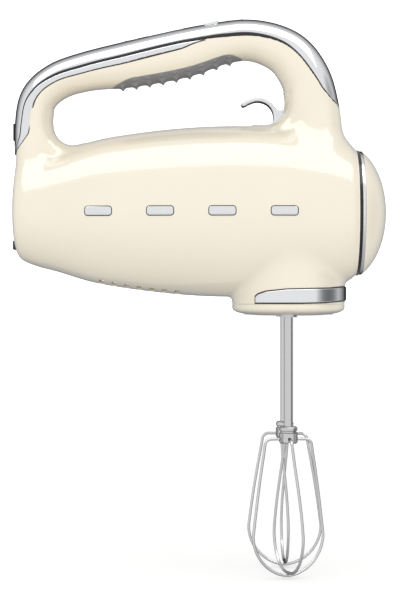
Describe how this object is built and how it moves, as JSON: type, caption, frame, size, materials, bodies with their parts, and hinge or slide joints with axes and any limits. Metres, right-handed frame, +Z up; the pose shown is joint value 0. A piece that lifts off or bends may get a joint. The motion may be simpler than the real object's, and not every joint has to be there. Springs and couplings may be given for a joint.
{
  "type": "hand mixer",
  "caption": "Hand mixer with a loop handle, top controls, an eject lever in the handle's loop and two wire whisks below a round gear head.",
  "frame": {"origin": "centre of the handle's grip, where the palm holds it", "axes": "+Z up in the working pose, along the whisks towards the handle; +X towards the nose; +Y to the left side"},
  "size_m": [0.2093, 0.0881, 0.3104],
  "materials": {
    "cream_plastic": "high gloss cream",
    "chrome_trim": "polished chrome plating",
    "black_plastic": "gloss black",
    "display_window": "gloss smoked black window",
    "grey_rubber": "soft matt grey",
    "black_rubber": "matt black",
    "circuit_board": "green solder mask",
    "steel": "turned steel",
    "zinc_steel": "zinc plated sheet",
    "ferrite": "dark sintered ferrite",
    "carbon": "pressed carbon",
    "laminations": "varnished laminations and enamelled wire",
    "copper": "turned copper",
    "white_nylon": "natural nylon",
    "cast_aluminium": "die-cast",
    "bronze": "sintered bronze",
    "stainless": "satin stainless"
  },
  "bodies": {
    "housing": {"left_shell": "cream_plastic", "right_shell": "cream_plastic", "nose_cap": "cream_plastic", "nose_ring": "chrome_trim", "nose_gasket": "black_plastic", "top_trim": "chrome_trim", "side_rails": "chrome_trim", "trim_seal": "black_plastic", "grip_pad": "grey_rubber", "display_lens": "display_window", "control_board": "circuit_board", "display_module": "black_plastic", "key_switches": "black_plastic", "base_cap": "cream_plastic", "head_band": "chrome_trim", "base_screws": "steel", "heel_foot_upper": "black_rubber", "heel_foot_lower": "black_rubber", "cord_gland": "cream_plastic", "badge_bars": "chrome_trim", "gearbox_frame": "cast_aluminium", "gearbox_lid": "cast_aluminium", "lid_screws": "steel", "lower_bushes": "bronze", "upper_bushes": "bronze", "motor_can": "zinc_steel", "motor_magnets": "ferrite", "motor_end_bell": "white_nylon", "carbon_brushes": "carbon", "motor_rods": "steel", "shaft_bearings": "bronze", "drive_board": "circuit_board", "lever_pin": "steel", "ejector_spring": "steel"},
    "rotor": {"armature": "laminations", "commutator": "copper", "motor_shaft": "steel", "worm": "steel", "cooling_fan": "white_nylon"},
    "left_drive": {"spindle_left": "steel", "worm_wheel_left": "white_nylon"},
    "right_drive": {"spindle_right": "steel", "worm_wheel_right": "white_nylon"},
    "left_pin": {"ejector_pin_left": "steel"},
    "right_pin": {"ejector_pin_right": "steel"},
    "left_whisk": {"whisk_shaft_left": "stainless", "whisk_hub_left": "stainless", "whisk_wires_left": "stainless"},
    "right_whisk": {"whisk_shaft_right": "stainless", "whisk_hub_right": "stainless", "whisk_wires_right": "stainless"},
    "lever": {"eject_lever": "chrome_trim"},
    "yoke": {"ejector_yoke": "white_nylon"},
    "power_key": {"power_button": "chrome_trim"},
    "minus_key": {"minus_button": "chrome_trim"},
    "plus_key": {"plus_button": "chrome_trim"},
    "turbo_key": {"turbo_button": "chrome_trim"}
  },
  "joints": [
    {"name": "rotor_spin", "type": "hinge", "parent": "housing", "child": "rotor", "pos_m": [0.0625, 0, -0.088], "axis": [1, 0, 0], "continuous": true},
    {"name": "left_drive_spin", "type": "hinge", "parent": "housing", "child": "left_drive", "pos_m": [0.0625, 0.0225, -0.088], "axis": [0, 0, 1], "continuous": true},
    {"name": "right_drive_spin", "type": "hinge", "parent": "housing", "child": "right_drive", "pos_m": [0.0625, -0.0225, -0.088], "axis": [0, 0, 1], "continuous": true},
    {"name": "lever_pull", "type": "hinge", "parent": "housing", "child": "lever", "pos_m": [0.0674, 0, -0.0335], "axis": [0, 1, 0], "range_deg": [0, 18]},
    {"name": "yoke_slide", "type": "slide", "parent": "housing", "child": "yoke", "axis": [0, 0, -1], "range_m": [0, 0.005], "stiffness_N_per_m": 500, "springref_m": -0.003, "deforming": ["ejector_spring"]},
    {"name": "left_pin_slide", "type": "slide", "parent": "left_drive", "child": "left_pin", "axis": [0, 0, -1], "range_m": [0, 0.0055]},
    {"name": "right_pin_slide", "type": "slide", "parent": "right_drive", "child": "right_pin", "axis": [0, 0, -1], "range_m": [0, 0.0055]},
    {"name": "left_whisk_pull", "type": "slide", "parent": "left_pin", "child": "left_whisk", "axis": [0, 0, -1], "range_m": [0, 0.045]},
    {"name": "right_whisk_pull", "type": "slide", "parent": "right_pin", "child": "right_whisk", "axis": [0, 0, -1], "range_m": [0, 0.045]},
    {"name": "power_press", "type": "slide", "parent": "housing", "child": "power_key", "axis": [0.1917, 0, -0.9815], "range_m": [0, 0.0008], "stiffness_N_per_m": 400, "springref_m": -0.001},
    {"name": "minus_press", "type": "slide", "parent": "housing", "child": "minus_key", "axis": [0.2241, 0, -0.9746], "range_m": [0, 0.0008], "stiffness_N_per_m": 400, "springref_m": -0.001},
    {"name": "plus_press", "type": "slide", "parent": "housing", "child": "plus_key", "axis": [0.2241, 0, -0.9746], "range_m": [0, 0.0008], "stiffness_N_per_m": 400, "springref_m": -0.001},
    {"name": "turbo_press", "type": "slide", "parent": "housing", "child": "turbo_key", "axis": [0.1074, 0, -0.9942], "range_m": [0, 0.0008], "stiffness_N_per_m": 400, "springref_m": -0.001}
  ],
  "couplings": [
    {"joint": "left_drive_spin", "follows": "rotor_spin", "ratio": -0.033333},
    {"joint": "right_drive_spin", "follows": "rotor_spin", "ratio": 0.033333},
    {"joint": "lever_pull", "follows": "yoke_slide", "rad_per_m": 62.5},
    {"joint": "left_pin_slide", "follows": "yoke_slide", "ratio": 1},
    {"joint": "right_pin_slide", "follows": "yoke_slide", "ratio": 1}
  ]
}
